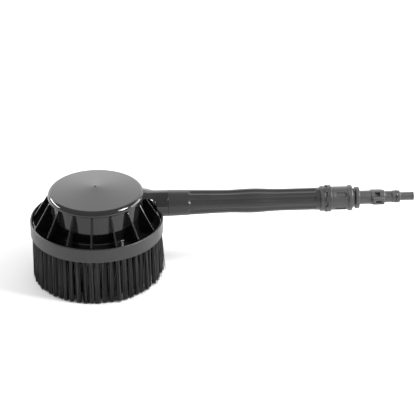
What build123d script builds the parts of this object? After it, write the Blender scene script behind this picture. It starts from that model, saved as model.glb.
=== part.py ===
from build123d import *
import math
import os

# Water-driven rotary wash brush. Millimetres.
# Origin: on the spin axis, in the plane of the bristle tips. +X runs along the handle, +Z is up.

# Brush ring and tufts
ring_radius = 80.0
ring_height = 17.5
ring_wall = 2.0
ring_lip = 0.7
bristle_length = 56.5
plate_recess = 3.0
plate_thickness = 6.5
plate_bore_radius = 50.0
outer_row_inset = 4.6
row_pitch = 8.8
outer_tufts = 60
middle_tufts = 52
inner_tufts = 44
tuft_root_radius = 2.3
tuft_root_depth = 5.0
tuft_tip_radius = 3.2
tuft_fan = 0.8
inner_tufts_shorter = 1.0
hook_count = 8
hook_reach = 2.2
hook_width = 8.0
hook_height = 3.0
hook_clearance = 0.2
hook_root_bite = 0.5

# Rotor bell: conical drum, fins, flange, spokes and hub
drum_rise = 29.4
drum_top_radius = 55.5
drum_foot_radius = 58.5
drum_wall = 2.2
flange_thickness = 2.5
flange_gap = 0.4
fin_count = 16
fin_thickness = 2.2
fin_phase = -4.8
fin_top_width = 3.0
fin_foot_inset = 2.0
fin_edge_gap = 1.0
fin_clearance = 1.0
spoke_count = 6
spoke_width = 6.0
spoke_height = 6.0
spoke_root_bite = 2.0
hub_radius = 13.0
hub_length = 17.6
hub_drop = 2.0

# Bearing on the spindle
journal_radius = 7.0
bush_wall = 2.0
running_clearance = 0.05
axial_play = 0.2
washer_thickness = 2.0
washer_radius = 12.0
stud_radius = 4.0
stud_length = 9.8
nut_across_flats = 13.0
nut_height = 6.0

# Jet head and vane ring
jet_head_radius = 14.5
jet_head_height = 10.0
jet_rise = 5.2
jet_offset = 9.0
nozzle_radius = 2.5
nozzle_length = 8.0
nozzle_bore_radius = 0.8
nozzle_overhang = 2.0
spindle_bore_radius = 3.0
feed_bore_radius = 1.5
vane_count = 20
vane_inner_radius = 25.0
vane_outer_radius = 45.0
vane_base = 2.5
vane_height = 22.0
vane_thickness = 1.6
vane_curve_radius = 14.0
vane_screw_circle = 35.0
vane_screw_count = 3
vane_seat_clearance = 0.3

# Cap and its spindle seat
head_gap = 0.8
cap_radius = 57.5
cap_wall = 2.5
cap_rim_height = 6.0
cap_dome_rise = 5.8
cap_edge_round = 5.5
gate_dimple_radius = 1.6
gate_dimple_depth = 0.8
spindle_flange_radius = 22.0
spindle_flange_thickness = 3.7
stub_radius = 6.1
stub_top_drop = 0.5
stub_seat_gap = 0.3
boss_wall = 3.9
seal_section = 0.9
duct_seal_section = 0.6
post_circle = 18.0
post_radius = 4.0
post_count = 3
post_phase = 60.0
post_bite = 0.5

# Water duct in the arm bridge
duct_rise = 2.4
duct_bore_radius = 1.6
duct_wall = 1.0
duct_kink_reach = 4.0
duct_end_rise = 7.8
duct_overrun = 0.6
bridge_length = 14.0
bridge_overlap = 4.0
bridge_round = 16.1
bridge_foot_rise = 8.9
bridge_foot_start = 2.5
arch_overrun = 3.0

# Handle axis and socket
handle_drop = 12.9
socket_radius = 16.0
socket_length = 14.6
socket_wall = 2.9
socket_front = 3.6
socket_overhang = 8.0
socket_split_rise = 3.5
screw_lug_offset = 11.0
screw_lug_radius = 2.5
screw_lug_reach = 5.8
elbow_radius = 8.2
elbow_length = 7.4
elbow_turn_reach = 3.7
elbow_neck_width = 9.2
elbow_neck_top = 11.6
slip = 0.1
cut_overrun = 1.0

# Fasteners: thread-forming screws
screw_radius = 1.5
screw_head_radius = 2.5
screw_head_height = 1.8
screw_bite = 8.0
screw_head_round = 0.6
screw_cross_half_length = 1.4
screw_cross_half_width = 0.35
screw_cross_depth = 0.9

# Water tube
tube_radius = 5.0
tube_wall = 1.8
tube_into_elbow = 2.8
tube_end_gap = 1.0

# Grip: share of the length from the socket seam, and radius there
grip_length = 183.4
grip_profile = [(0.0, 16.0), (0.12, 15.45), (0.21, 14.95), (0.39, 14.2), (0.56, 15.0),
                (0.71, 13.75), (0.87, 13.6), (1.0, 13.65)]
grip_bore_radius = 9.5
grip_root_wall = 3.0
flute_count = 8
flute_width = 7.0
flute_depth = 1.1
flute_start = 24.0
flute_end_margin = 5.0
flute_phase = 14.0
spigot_length = 3.0
bead_width = 1.2
bead_height = 1.0
tail_radius = 12.0

# Collar, lock ring and coupling body
collar_width = 6.0
collar_radius = 15.3
collar_round = 0.8
lock_ring_width = 7.4
lock_ring_radius = 16.3
lock_ring_round = 1.2
lock_notch_count = 8
lock_notch_depth = 2.4
lock_notch_width = 6.0
lock_notch_floor_drop = 0.6
coupling_length = 20.6
coupling_radius = 14.3
coupling_flange_width = 5.0
coupling_flange_radius = 15.7
coupling_flange_round = 1.4
coupling_neck_width = 2.2
coupling_neck_radius = 11.6
coupling_window_width = 9.0
coupling_spigot_length = 20.0
recess_length = 14.6
recess_width = 6.0
recess_depth = 1.6
recess_shift = 0.8
recess_angles = (46.0, 126.0, -134.0, -54.0)
ear_chamber_length = 7.0
ear_chamber_radius = 10.4
front_wall = 4.0
seat_depth = 9.0

# Bayonet adapter
adapter_gap = 0.3
stem_radius = 5.5
barrel_radius = 8.0
lock_ear_radius = 9.9
lock_ear_width = 6.0
lock_ear_thickness = 3.4
lock_turn = 60.0
way_in_clearance = 0.4
adapter_flange_width = 6.1
adapter_flange_radius = 13.4
neck_length = 14.4
neck_radius = 8.4
body_length = 16.4
body_radius = 8.95
ear_length = 14.7
ear_height = 8.0
ear_reach = 13.0
ear_chamfer = 0.8
ear_slot_length = 7.0
ear_slot_height = 2.0
ear_slot_depth = 2.5
pocket_length = 5.6
pocket_width = 5.0
pocket_depth = 3.0
pocket_share = 0.45
pocket_angles = (40.0, 220.0)
nose_length = 9.9
nose_radius = 6.95
nose_recess_depth = 1.0
nose_recess_margin = 1.5
nose_collar_length = 9.8
nose_collar_radius = 7.5
nose_collar_chamfer = 1.0
nose_groove_width = 2.4
nose_groove_depth = 1.6
tip_length = 16.7
tip_radius = 5.05
tip_root_step = 0.6
tip_bead_length = 2.6
tip_bead_height = 0.25
tip_bead_ramp = 0.6
tip_end_chamfer = 0.4
adapter_bore_radius = 2.2

# Levels and stations that follow from the sizes above
ring_z0 = bristle_length
ring_z1 = ring_z0 + ring_height
ring_bore = ring_radius - ring_wall
sweep_foot = ring_bore - fin_foot_inset + fin_clearance
sweep_top = drum_top_radius + fin_top_width + fin_clearance
plate_z0 = ring_z0 + plate_recess
plate_z1 = plate_z0 + plate_thickness
flange_z1 = plate_z1 + flange_thickness
bell_top_z = ring_z1 + drum_rise
spoke_z1 = plate_z1 + spoke_height
hub_z0 = plate_z1 - hub_drop
hub_z1 = hub_z0 + hub_length
shoulder_z = hub_z0 - axial_play
jet_head_z0 = hub_z1 + axial_play + washer_thickness
jet_head_z1 = jet_head_z0 + jet_head_height
spindle_flange_z1 = jet_head_z1 + spindle_flange_thickness
jet_z = jet_head_z0 + jet_rise
cap_z0 = bell_top_z + head_gap
rim_z = cap_z0 + cap_rim_height
apex_z = rim_z + cap_dome_rise
duct_z = cap_z0 + duct_rise
stub_z1 = duct_z - duct_bore_radius - stub_top_drop
seal_z = (spindle_flange_z1 + stub_z1) / 2
handle_z = bell_top_z - handle_drop
socket_x0 = max(cap_radius + bridge_length, sweep_foot - socket_overhang)
chamber_x0 = socket_x0 + socket_front
chamber_radius = socket_radius - socket_wall
duct_end_z = handle_z + duct_end_rise
duct_seal_x = chamber_x0 + duct_seal_section
lug_x = chamber_x0 + elbow_length / 2
elbow_x1 = chamber_x0 + elbow_length
elbow_seal_x = elbow_x1 - tube_into_elbow / 2
grip_x0 = socket_x0 + socket_length
grip_x1 = grip_x0 + grip_length
collar_x1 = grip_x1 + collar_width
lock_x1 = collar_x1 + lock_ring_width
coupling_x1 = lock_x1 + coupling_length
flange_x1 = coupling_x1 + coupling_flange_width
neck_x1 = flange_x1 + coupling_neck_width
adapter_x0 = neck_x1 + adapter_gap
chamber_x1 = flange_x1 - front_wall
ear_chamber_x0 = chamber_x1 - ear_chamber_length
stem_x0 = ear_chamber_x0 - seat_depth
stem_seal_x = (stem_x0 + ear_chamber_x0) / 2
tube_x0 = elbow_x1 - tube_into_elbow
tube_x1 = stem_x0 - tube_end_gap
tube_seal_x = (lock_x1 + tube_x1) / 2
body_x0 = adapter_x0 + adapter_flange_width + neck_length
body_x1 = body_x0 + body_length
nose_x1 = body_x1 + nose_length
nose_collar_x1 = nose_x1 + nose_collar_length
adapter_x1 = nose_collar_x1 + tip_length

BASE = (Align.CENTER, Align.CENTER, Align.MIN)


def rod(radius, z0, z1, x=0.0, y=0.0):
    """An upright cylinder between two levels."""
    return Pos(x, y, z0) * Cylinder(radius, z1 - z0, align=BASE)


def bar(radius, x0, x1, y=0.0, z=None):
    """A cylinder along +X, on the handle axis unless a height is given."""
    height = handle_z if z is None else z
    return Pos(x0, y, height) * Rot(0, 90, 0) * Cylinder(radius, x1 - x0, align=BASE)


def block(x0, x1, y0, y1, z0, z1):
    """A box between three pairs of limits."""
    return Pos((x0 + x1) / 2, (y0 + y1) / 2, (z0 + z1) / 2) * Box(x1 - x0, y1 - y0, z1 - z0)


def outline_face(points):
    """A flat face in the XZ plane from (x, z) points."""
    return Plane.XZ * make_face(Polyline(*points, close=True))


def turned(*points):
    """A solid turned round the spin axis from (radius, z) points."""
    return revolve(outline_face(points), Axis.Z)


def turned_along_handle(*points):
    """A solid turned round the handle axis from (x, radius) points."""
    return Pos(0, 0, handle_z) * revolve(outline_face(points), Axis.X)


def round_handle(angle):
    """A turn about the handle axis."""
    return Pos(0, 0, handle_z) * Rot(angle, 0, 0) * Pos(0, 0, -handle_z)


def wheel(shape, count, phase=0.0):
    """Copies of a shape spaced evenly round the spin axis."""
    return [Rot(0, 0, phase + 360.0 * i / count) * shape for i in range(count)]


def group(shapes):
    """Separate solids of one node."""
    return Compound(children=list(shapes))


def o_ring_z(inner_radius, section, z):
    """An O-ring lying flat round the spin axis."""
    return Pos(0, 0, z) * Torus(inner_radius + section, section)


def o_ring_x(inner_radius, section, x, z):
    """An O-ring round an axis along +X."""
    return Pos(x, 0, z) * Rot(0, 90, 0) * Torus(inner_radius + section, section)


def inner_groove(x, bore_radius):
    """A square groove for an O-ring, cut outwards from a bore on the handle axis."""
    return bar(bore_radius + 2 * seal_section, x - seal_section, x + seal_section)


def outer_groove(x, shaft_radius):
    """A square groove for an O-ring, cut into a shaft on the handle axis."""
    cut = bar(shaft_radius + cut_overrun, x - seal_section, x + seal_section)
    return cut - bar(shaft_radius - 2 * seal_section, x - seal_section, x + seal_section)


def screw(length):
    """A pan-head screw that points up, its head's bearing face at z = 0."""
    head = fillet(rod(screw_head_radius, -screw_head_height, 0).edges().group_by(Axis.Z)[0],
                  screw_head_round)
    body = head + rod(screw_radius, 0, length)
    cross = block(-screw_cross_half_length, screw_cross_half_length, -screw_cross_half_width,
                  screw_cross_half_width, -screw_head_height, screw_cross_depth - screw_head_height)
    for turn in (0, 90):
        body -= Rot(0, 0, turn) * cross
    return body


def tuft_row(radius, count, tip_level, fan):
    """One row of bristle tufts, each set in its own blind hole and fanned at the tips."""
    root = Pos(radius, 0, plate_z0) * Circle(tuft_root_radius)
    tip = Pos(radius + fan, 0, tip_level) * Circle(tuft_tip_radius)
    tuft = loft([tip, root]) + rod(tuft_root_radius, plate_z0, plate_z0 + tuft_root_depth, radius)
    return group(wheel(tuft, count))


def row_radius(row):
    return ring_radius - outer_row_inset - row * row_pitch


def tufts_outer():
    return tuft_row(row_radius(0), outer_tufts, 0.0, tuft_fan)


def tufts_middle():
    return tuft_row(row_radius(1), middle_tufts, inner_tufts_shorter, 0.0)


def tufts_inner():
    return tuft_row(row_radius(2), inner_tufts, inner_tufts_shorter, -tuft_fan)


def brush_ring():
    """Outer band and tuft plate in one, with snap hooks that hold the bell's flange."""
    ring = turned((plate_bore_radius, plate_z0), (ring_bore, plate_z0), (ring_bore, ring_z0),
                  (ring_radius, ring_z0), (ring_radius, ring_z1 - ring_lip),
                  (ring_radius - ring_lip, ring_z1), (ring_bore, ring_z1), (ring_bore, plate_z1),
                  (plate_bore_radius, plate_z1))
    hook_z = flange_z1 + hook_clearance
    hook_face = outline_face([(ring_bore + hook_root_bite, hook_z), (ring_bore - hook_reach, hook_z),
                              (ring_bore + hook_root_bite, hook_z + hook_height)])
    hook = extrude(hook_face, hook_width / 2, both=True)
    ring = ring + wheel(hook, hook_count, fin_phase + 180.0 / fin_count)
    for row, count in enumerate((outer_tufts, middle_tufts, inner_tufts)):
        hole = rod(tuft_root_radius, plate_z0, plate_z0 + tuft_root_depth, row_radius(row))
        ring -= wheel(hole, count)
    return ring


def drum_shell():
    """Conical drum wall on the flange that the ring's hooks hold."""
    return turned((drum_foot_radius - drum_wall, plate_z1), (ring_bore - flange_gap, plate_z1),
                  (ring_bore - flange_gap, flange_z1), (drum_foot_radius, flange_z1),
                  (drum_top_radius, bell_top_z), (drum_top_radius - drum_wall, bell_top_z))


def bell_fins():
    """Radial gussets between the drum wall, the flange and the ring."""
    in_wall = drum_wall / 2
    fin_face = outline_face([(drum_foot_radius - in_wall, flange_z1 - in_wall),
                             (ring_bore - flange_gap - fin_edge_gap, flange_z1 - in_wall),
                             (ring_bore - fin_foot_inset, ring_z1),
                             (drum_top_radius + fin_top_width, bell_top_z),
                             (drum_top_radius - in_wall, bell_top_z)])
    fin = extrude(fin_face, fin_thickness / 2, both=True) - drum_shell()
    return group(wheel(fin, fin_count, fin_phase))


def rotor_bell():
    """Conical drum with a flange outside and a spoked hub inside."""
    spoke = block(hub_radius - spoke_root_bite, drum_foot_radius - drum_wall / 2, -spoke_width / 2,
                  spoke_width / 2, plate_z1, spoke_z1)
    bell = drum_shell() + wheel(spoke, spoke_count) + rod(hub_radius, hub_z0, hub_z1)
    bell -= rod(journal_radius + running_clearance + bush_wall, hub_z0, hub_z1)
    hole = rod(screw_radius, plate_z1, spoke_z1, vane_screw_circle)
    return bell - wheel(hole, vane_screw_count)


def bearing_bush():
    outer = journal_radius + running_clearance + bush_wall
    return rod(outer, hub_z0, hub_z1) - rod(journal_radius + running_clearance, hub_z0, hub_z1)


def vane_ring():
    """Turbine ring on the spokes: a base ring with curved vanes that the jets push."""
    z0 = spoke_z1
    base = rod(vane_outer_radius, z0, z0 + vane_base) - rod(vane_inner_radius, z0, z0 + vane_base)
    top = z0 + vane_base + vane_height
    centre = (vane_inner_radius + vane_outer_radius) / 2
    hoop = rod(vane_curve_radius, z0, top) - rod(vane_curve_radius - vane_thickness, z0, top)
    half = hoop & block(-vane_curve_radius, vane_curve_radius, 0, vane_curve_radius, z0, top)
    vane = Pos(centre, -vane_curve_radius / 2, 0) * half
    hole = rod(screw_radius, z0, z0 + vane_base, vane_screw_circle)
    limit = rod(vane_outer_radius, z0, top) - rod(vane_inner_radius, z0, top)
    seat = rod(screw_head_radius + vane_seat_clearance, z0 + vane_base, top, vane_screw_circle)
    vanes = base + wheel(vane & limit, vane_count, 360.0 / vane_count / 2)
    return vanes - wheel(seat, vane_screw_count) - wheel(hole, vane_screw_count)


def vane_screws():
    one = Pos(vane_screw_circle, 0, spoke_z1 + vane_base) * Rot(180, 0, 0) * screw(screw_bite)
    return group(wheel(one, vane_screw_count))


def spindle():
    """Fixed hollow spindle: stub in the cap, flange, jet head, journal and threaded end."""
    body = rod(stub_radius, spindle_flange_z1, stub_z1)
    body += rod(spindle_flange_radius, jet_head_z1, spindle_flange_z1)
    body += rod(jet_head_radius, jet_head_z0, jet_head_z1)
    body += rod(journal_radius, shoulder_z, jet_head_z0)
    body += rod(stud_radius, shoulder_z - stud_length, shoulder_z)
    groove_z0, groove_z1 = seal_z - seal_section, seal_z + seal_section
    groove = rod(stub_radius + cut_overrun, groove_z0, groove_z1)
    body -= groove - rod(stub_radius - 2 * seal_section, groove_z0, groove_z1)
    body -= rod(spindle_bore_radius, jet_z - spindle_bore_radius, stub_z1)
    body -= bar(feed_bore_radius, -jet_offset, jet_offset, z=jet_z)
    jet_seat = nozzle(nozzle_radius, 0.0)
    jet_feed = nozzle(feed_bore_radius, nozzle_length)
    for turn in (0, 180):
        body -= Rot(0, 0, turn) * jet_seat
        body -= Rot(0, 0, turn) * jet_feed
    hole = rod(screw_radius, jet_head_z1, spindle_flange_z1, post_circle)
    return body - wheel(hole, post_count, post_phase)


def nozzle(radius, back):
    """A round bar on the jet line, moved back from the nozzle's place towards the feed bore."""
    outer_y = math.sqrt(jet_head_radius ** 2 - jet_offset ** 2) + nozzle_overhang
    start = Pos(jet_offset, outer_y - back, jet_z) * Rot(90, 0, 0)
    return start * Cylinder(radius, nozzle_length, align=BASE)


def jet_nozzles():
    one = nozzle(nozzle_radius, 0.0) - nozzle(nozzle_bore_radius, 0.0)
    return group([one, Rot(0, 0, 180) * one])


def washer_upper():
    z0 = hub_z1 + axial_play
    ring = rod(washer_radius, z0, jet_head_z0)
    return ring - rod(journal_radius + slip, z0, jet_head_z0)


def washer_lower():
    z0 = shoulder_z - washer_thickness
    return rod(washer_radius, z0, shoulder_z) - rod(stud_radius + slip, z0, shoulder_z)


def spindle_nut():
    z1 = shoulder_z - washer_thickness
    hexagon = Pos(0, 0, z1 - nut_height) * RegularPolygon(nut_across_flats / 2, 6, major_radius=False)
    return extrude(hexagon, nut_height) - rod(stud_radius, z1 - nut_height, z1)


def spindle_seal():
    return o_ring_z(stub_radius - 2 * seal_section, seal_section, seal_z)


def spindle_screws():
    one = Pos(post_circle, 0, jet_head_z1) * screw(spindle_flange_thickness + screw_bite)
    return group(wheel(one, post_count, post_phase))


def duct_line(radius, start_x=0.0):
    """The water duct: level under the cap, then down the bridge to the socket's front wall."""
    kink_x = cap_radius + duct_kink_reach
    run, drop = chamber_x0 - kink_x, duct_z - duct_end_z
    slope = math.degrees(math.atan2(drop, run))
    level = bar(radius, start_x, kink_x, z=duct_z)
    falling = Pos(kink_x, 0, duct_z) * Rot(0, 90 + slope, 0)
    falling *= Cylinder(radius, math.hypot(run, drop) + radius * duct_overrun, align=BASE)
    return level + falling + Pos(kink_x, 0, duct_z) * Sphere(radius)


def arm_bridge():
    """The arched upper bridge between the cap's rim and the socket."""
    x0, x1 = cap_radius - bridge_overlap, socket_x0 + socket_front / 2
    foot_z = handle_z + bridge_foot_rise
    side = outline_face([(x0, cap_z0), (cap_radius + bridge_foot_start, cap_z0), (socket_x0, foot_z),
                         (x1, foot_z), (x1, apex_z), (x0, apex_z)])
    slab = extrude(side, bridge_round, both=True)
    high_z, low_z = rim_z - bridge_round, handle_z
    run, drop = x1 - x0, high_z - low_z
    lean = math.degrees(math.atan2(drop, run))
    arch = Pos(x0 - arch_overrun, 0, high_z + arch_overrun * drop / run) * Rot(0, 90 + lean, 0)
    arch *= Cylinder(bridge_round, math.hypot(run, drop) + 2 * arch_overrun, align=BASE)
    return slab & arch


def bell_sweep():
    """The space that the fins sweep as they turn, with clearance, above the brush ring."""
    return turned((0, ring_z1), (sweep_foot, ring_z1), (sweep_top, bell_top_z), (0, bell_top_z))


def socket_shell():
    """Both halves of the socket, before they are split."""
    shell = bar(socket_radius, socket_x0, grip_x0) - bar(chamber_radius, chamber_x0, grip_x0)
    lugs = [rod(screw_lug_radius, handle_z - socket_radius, handle_z + socket_radius, lug_x, side)
            for side in (-screw_lug_offset, screw_lug_offset)]
    lugs = [lug & bar(socket_radius, chamber_x0, grip_x0) for lug in lugs]
    groove_x = grip_x0 - spigot_length / 2
    groove = bar(chamber_radius - slip + bead_height + slip, groove_x - bead_width / 2 - slip,
                 groove_x + bead_width / 2 + slip)
    return shell + lugs - groove - bell_sweep()


def lug_screw_holes():
    """Clearance in the lower half and a counterbore that sinks each head."""
    cuts = []
    for side in (-screw_lug_offset, screw_lug_offset):
        seat_z = handle_z - screw_lug_reach
        cuts.append(rod(screw_radius, seat_z, seat_z + screw_lug_reach + screw_bite, lug_x, side))
        cuts.append(rod(screw_head_radius + slip, handle_z - socket_radius, seat_z, lug_x, side))
    return cuts


def upper_half():
    return block(socket_x0, grip_x0, -socket_radius, socket_radius,
                 handle_z + socket_split_rise, handle_z + socket_radius)


def cap_dome():
    """Shallow cone with a rounded rim, an open underside and a small gate dimple on top."""
    slope = cap_dome_rise / cap_radius
    inner = cap_radius - cap_wall
    dome = turned((0, apex_z), (cap_radius, rim_z), (cap_radius, cap_z0), (inner, cap_z0),
                  (inner, apex_z - cap_wall - slope * inner), (0, apex_z - cap_wall))
    edges = dome.edges().filter_by(GeomType.CIRCLE).group_by(SortBy.RADIUS)[-1]
    dome = fillet(edges.sort_by(Axis.Z)[-1], cap_edge_round)
    return dome - Pos(0, 0, apex_z + gate_dimple_radius - gate_dimple_depth) * Sphere(gate_dimple_radius)


def cap_cover():
    """Fixed cap: dome, spindle seat with screw posts, arm bridge with its duct, upper socket."""
    under_dome = apex_z - cap_wall - cap_dome_rise / cap_radius * (post_circle + post_radius)
    under_dome += post_bite
    boss = rod(stub_radius + boss_wall, spindle_flange_z1, under_dome)
    post = rod(post_radius, spindle_flange_z1, under_dome, post_circle)
    body = cap_dome() + boss + wheel(post, post_count, post_phase)
    body = body + duct_line(duct_bore_radius + duct_wall) + arm_bridge()
    body -= bar(chamber_radius, chamber_x0, grip_x0)
    body += socket_shell() & upper_half()
    body -= rod(stub_radius, spindle_flange_z1, duct_z + duct_bore_radius + stub_seat_gap)
    body -= duct_line(duct_bore_radius)
    pilot = rod(screw_radius, spindle_flange_z1, spindle_flange_z1 + screw_bite, post_circle)
    body -= wheel(pilot, post_count, post_phase)
    return body - lug_screw_holes()


def socket_lower():
    """The separate lower half of the socket."""
    return socket_shell() - upper_half() - lug_screw_holes()


def socket_screws():
    seat_z = handle_z - screw_lug_reach
    one = screw(screw_lug_reach + screw_bite)
    return group([Pos(lug_x, side, seat_z) * one for side in (-screw_lug_offset, screw_lug_offset)])


def water_elbow():
    """Joins the handle's tube to the duct inside the socket."""
    half = elbow_neck_width / 2
    face_x = chamber_x0 + slip
    body = bar(elbow_radius, face_x, elbow_x1)
    body += block(face_x, elbow_x1, -half, half, handle_z, handle_z + elbow_neck_top)
    turn_x = face_x + elbow_turn_reach
    body -= bar(tube_radius, tube_x0, elbow_x1)
    body -= bar(feed_bore_radius, turn_x, tube_x0)
    body -= rod(feed_bore_radius, handle_z, duct_end_z, turn_x)
    body -= bar(feed_bore_radius, face_x, turn_x, z=duct_end_z)
    seat_radius = duct_bore_radius + slip + 2 * duct_seal_section
    body -= bar(seat_radius, face_x, duct_seal_x + duct_seal_section, z=duct_end_z)
    return body - inner_groove(elbow_seal_x, tube_radius)


def duct_seal():
    """Face seal between the elbow and the socket's front wall."""
    return o_ring_x(duct_bore_radius + slip, duct_seal_section, duct_seal_x, duct_end_z)


def elbow_seal():
    return o_ring_x(tube_radius, seal_section, elbow_seal_x, handle_z)


def water_tube():
    return bar(tube_radius, tube_x0, tube_x1) - bar(tube_radius - tube_wall, tube_x0, tube_x1)


def grip_skin(inset):
    """The grip's swelling outer shape, moved inwards by an inset."""
    points = [(grip_x0 + share * grip_length, r - inset) for share, r in grip_profile]
    crest = Spline(*points)
    ends = Polyline(points[-1], (points[-1][0], 0), (points[0][0], 0), points[0])
    face = Plane.XZ * make_face(crest + ends)
    return Pos(0, 0, handle_z) * revolve(face, Axis.X)


def grip():
    """Long hollow grip with flutes, a spigot in the socket and a tail for the collars."""
    flute_length = grip_length - flute_start - flute_end_margin
    slot = extrude(SlotOverall(flute_length, flute_width), socket_radius + cut_overrun)
    slot = Pos(grip_x0 + flute_start + flute_length / 2, 0, handle_z) * slot
    skin = grip_skin(0.0)
    layer = skin - grip_skin(flute_depth)
    flutes = [layer & (round_handle(flute_phase + 360.0 * i / flute_count) * slot)
              for i in range(flute_count)]
    body = skin - flutes
    spigot_x0 = grip_x0 - spigot_length
    bead_x = grip_x0 - spigot_length / 2
    body += bar(chamber_radius - slip, spigot_x0, grip_x0)
    body += bar(chamber_radius - slip + bead_height, bead_x - bead_width / 2, bead_x + bead_width / 2)
    body += bar(tail_radius, grip_x1, lock_x1)
    body -= bar(tube_radius + slip, spigot_x0, grip_x0 + grip_root_wall)
    return body - bar(grip_bore_radius, grip_x0 + grip_root_wall, lock_x1)


def grip_collar():
    ring = bar(collar_radius, grip_x1, collar_x1)
    ring = fillet(ring.edges().filter_by(GeomType.CIRCLE), collar_round)
    return ring - bar(tail_radius, grip_x1, collar_x1)


def lock_ring():
    """Castellated ring: notches in its grip-side edge."""
    ring = bar(lock_ring_radius, collar_x1, lock_x1)
    ring = fillet(ring.edges().filter_by(GeomType.CIRCLE).sort_by(Axis.X)[-1], lock_ring_round)
    floor_z = handle_z + collar_radius - lock_notch_floor_drop
    notch = block(collar_x1, collar_x1 + lock_notch_depth, -lock_notch_width / 2,
                  lock_notch_width / 2, floor_z, handle_z + lock_ring_radius + cut_overrun)
    notches = [round_handle(360.0 * i / lock_notch_count) * notch for i in range(lock_notch_count)]
    return ring - bar(tail_radius, collar_x1, lock_x1) - notches


def finger_recess(angle):
    """An oblong pocket in the coupling's side; the angle is measured from straight up."""
    slot = extrude(SlotOverall(recess_length, recess_width), recess_depth + cut_overrun)
    middle_x = (lock_x1 + coupling_x1) / 2 + recess_shift
    return round_handle(angle) * Pos(middle_x, 0, handle_z + coupling_radius - recess_depth) * slot


def coupling_body():
    """Fixed female coupling: spigot in the grip, recessed body, flange and ear chamber."""
    body = bar(coupling_radius, lock_x1, coupling_x1)
    rim = bar(coupling_flange_radius, coupling_x1, flange_x1)
    body += fillet(rim.edges().filter_by(GeomType.CIRCLE), coupling_flange_round)
    body += bar(coupling_neck_radius, flange_x1, neck_x1)
    body += bar(grip_bore_radius - slip, lock_x1 - coupling_spigot_length, lock_x1)
    for angle in recess_angles:
        body -= finger_recess(angle)
    body -= bar(tube_radius, lock_x1 - coupling_spigot_length, tube_x1)
    body -= bar(feed_bore_radius * 1.5, tube_x1, stem_x0)
    body -= bar(stem_radius + running_clearance, stem_x0, ear_chamber_x0)
    body -= bar(ear_chamber_radius, ear_chamber_x0, chamber_x1)
    body -= bar(barrel_radius + running_clearance, chamber_x1, neck_x1)
    half = lock_ear_width / 2 + way_in_clearance
    way_in = block(chamber_x1, neck_x1, -half, half, handle_z - ear_chamber_radius,
                   handle_z + ear_chamber_radius)
    body -= round_handle(lock_turn) * way_in
    side = coupling_window_width / 2
    window = block(flange_x1, neck_x1, -side, side, handle_z - collar_radius, handle_z + collar_radius)
    return body - window - inner_groove(tube_seal_x, tube_radius)


def coupling_seal():
    return o_ring_x(tube_radius, seal_section, tube_seal_x, handle_z)


def adapter_ear():
    """One outer bayonet ear with a slot in its face, pointing along -Y."""
    x0 = body_x0 + (body_length - ear_length) / 2
    x1 = x0 + ear_length
    half = ear_height / 2
    ear = block(x0, x1, -ear_reach, -body_radius / 2, handle_z - half, handle_z + half)
    front = ear.edges().filter_by(Axis.Z).group_by(Axis.Y)[0]
    ear = chamfer(front, ear_chamfer)
    middle = (x0 + x1) / 2
    slot = block(middle - ear_slot_length / 2, middle + ear_slot_length / 2, -ear_reach,
                 -ear_reach + ear_slot_depth, handle_z - ear_slot_height / 2,
                 handle_z + ear_slot_height / 2)
    return ear - slot


def bayonet_adapter():
    """Adapter that locks in the coupling and carries the gun-side bayonet and tip tube."""
    flange_end = adapter_x0 + adapter_flange_width
    groove_x = (nose_x1 + nose_collar_x1) / 2
    shaft = [(stem_x0, 0), (stem_x0, stem_radius), (ear_chamber_x0, stem_radius),
             (ear_chamber_x0, barrel_radius), (adapter_x0, barrel_radius),
             (adapter_x0, adapter_flange_radius), (flange_end, adapter_flange_radius),
             (flange_end, neck_radius), (body_x0, neck_radius), (body_x0, body_radius),
             (body_x1, body_radius), (body_x1, nose_radius), (nose_x1, nose_radius),
             (nose_x1, nose_collar_radius), (groove_x - nose_groove_width / 2, nose_collar_radius),
             (groove_x - nose_groove_width / 2, nose_collar_radius - nose_groove_depth),
             (groove_x + nose_groove_width / 2, nose_collar_radius - nose_groove_depth),
             (groove_x + nose_groove_width / 2, nose_collar_radius),
             (nose_collar_x1 - nose_collar_chamfer, nose_collar_radius),
             (nose_collar_x1, tip_radius + tip_root_step), (nose_collar_x1, tip_radius),
             (adapter_x1 - tip_bead_length, tip_radius),
             (adapter_x1 - tip_bead_length + tip_bead_ramp, tip_radius + tip_bead_height),
             (adapter_x1 - tip_bead_ramp, tip_radius + tip_bead_height),
             (adapter_x1, tip_radius - tip_end_chamfer),
             (adapter_x1, 0)]
    body = turned_along_handle(*shaft)
    lock_x = chamber_x1 - lock_ear_thickness - slip
    half = lock_ear_width / 2
    lock_ears = block(lock_x, lock_x + lock_ear_thickness, -half, half,
                      handle_z - lock_ear_radius, handle_z + lock_ear_radius)
    body += lock_ears & bar(lock_ear_radius, lock_x, lock_x + lock_ear_thickness)
    body += [round_handle(turn) * adapter_ear() for turn in (0, 180)]
    pocket_x = body_x0 + body_length * pocket_share
    pocket = block(pocket_x - pocket_length / 2, pocket_x + pocket_length / 2, -pocket_width / 2,
                   pocket_width / 2, handle_z + body_radius - pocket_depth,
                   handle_z + body_radius + cut_overrun)
    dent_x = (body_x1 + nose_x1) / 2
    dent_face = SlotOverall(nose_length - nose_recess_margin, pocket_width)
    dent = extrude(dent_face, nose_recess_depth + cut_overrun)
    dent = Pos(dent_x, 0, handle_z + nose_radius - nose_recess_depth) * dent
    for turn in pocket_angles:
        body -= round_handle(turn) * pocket
        body -= round_handle(turn) * dent
    body -= outer_groove(stem_seal_x, stem_radius)
    return body - bar(adapter_bore_radius, stem_x0, adapter_x1)


def stem_seal():
    """O-ring on the adapter's stem, inside the coupling."""
    return o_ring_x(stem_radius - 2 * seal_section, seal_section, stem_seal_x, handle_z)


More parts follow.
